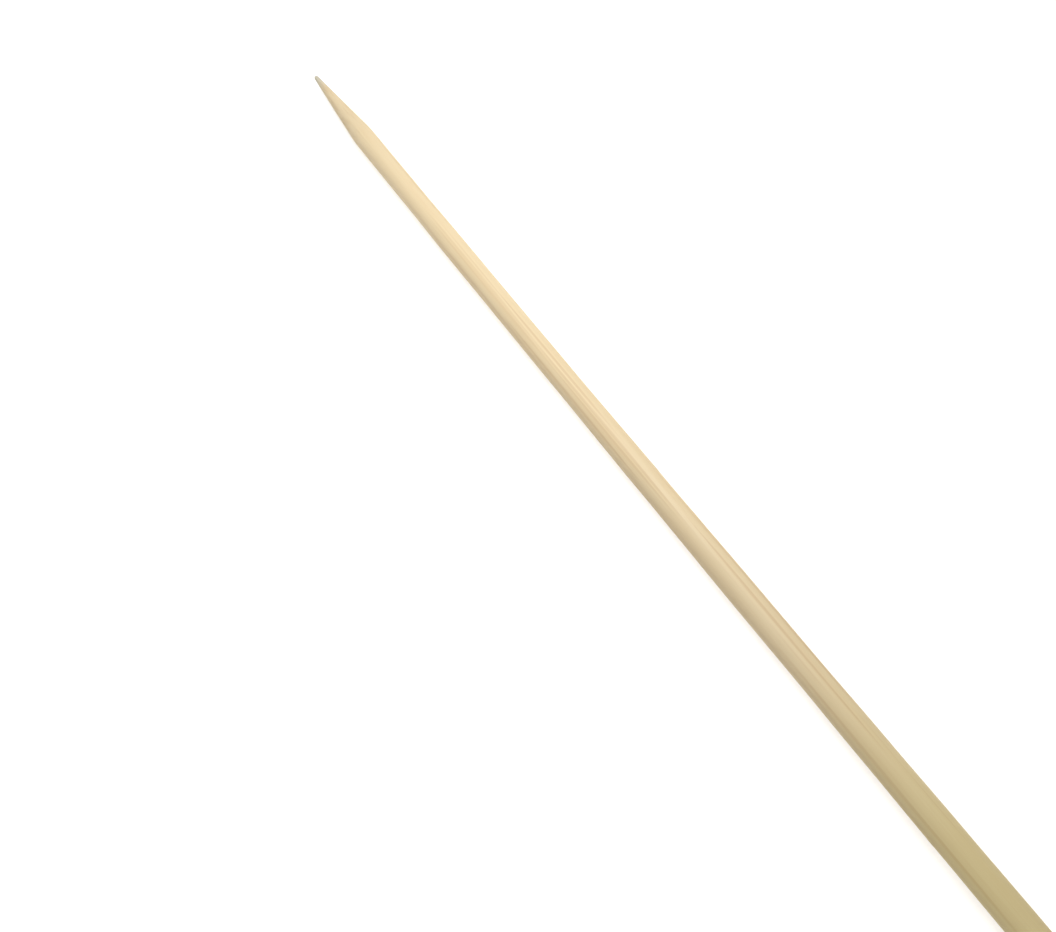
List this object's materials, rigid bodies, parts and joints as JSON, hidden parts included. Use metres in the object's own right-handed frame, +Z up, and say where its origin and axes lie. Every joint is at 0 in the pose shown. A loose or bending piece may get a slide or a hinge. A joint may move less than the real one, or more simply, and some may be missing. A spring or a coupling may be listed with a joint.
{
  "type": "bamboo skewer",
  "caption": "Round bamboo food skewer, ground to a long point at one end and sawn square at the other.",
  "frame": {"origin": "the surface the stick lies on, under the middle of its bounding box", "axes": "+X along the stick towards the ground point, +Y across it towards the outside of its gentle bow, +Z up"},
  "size_m": [0.3, 0.0058, 0.0049],
  "materials": {
    "bamboo": "matte to satin, bare, with fine straight fibres along the length"
  },
  "bodies": {
    "root": {"skewer": "bamboo"}
  },
  "joints": []
}
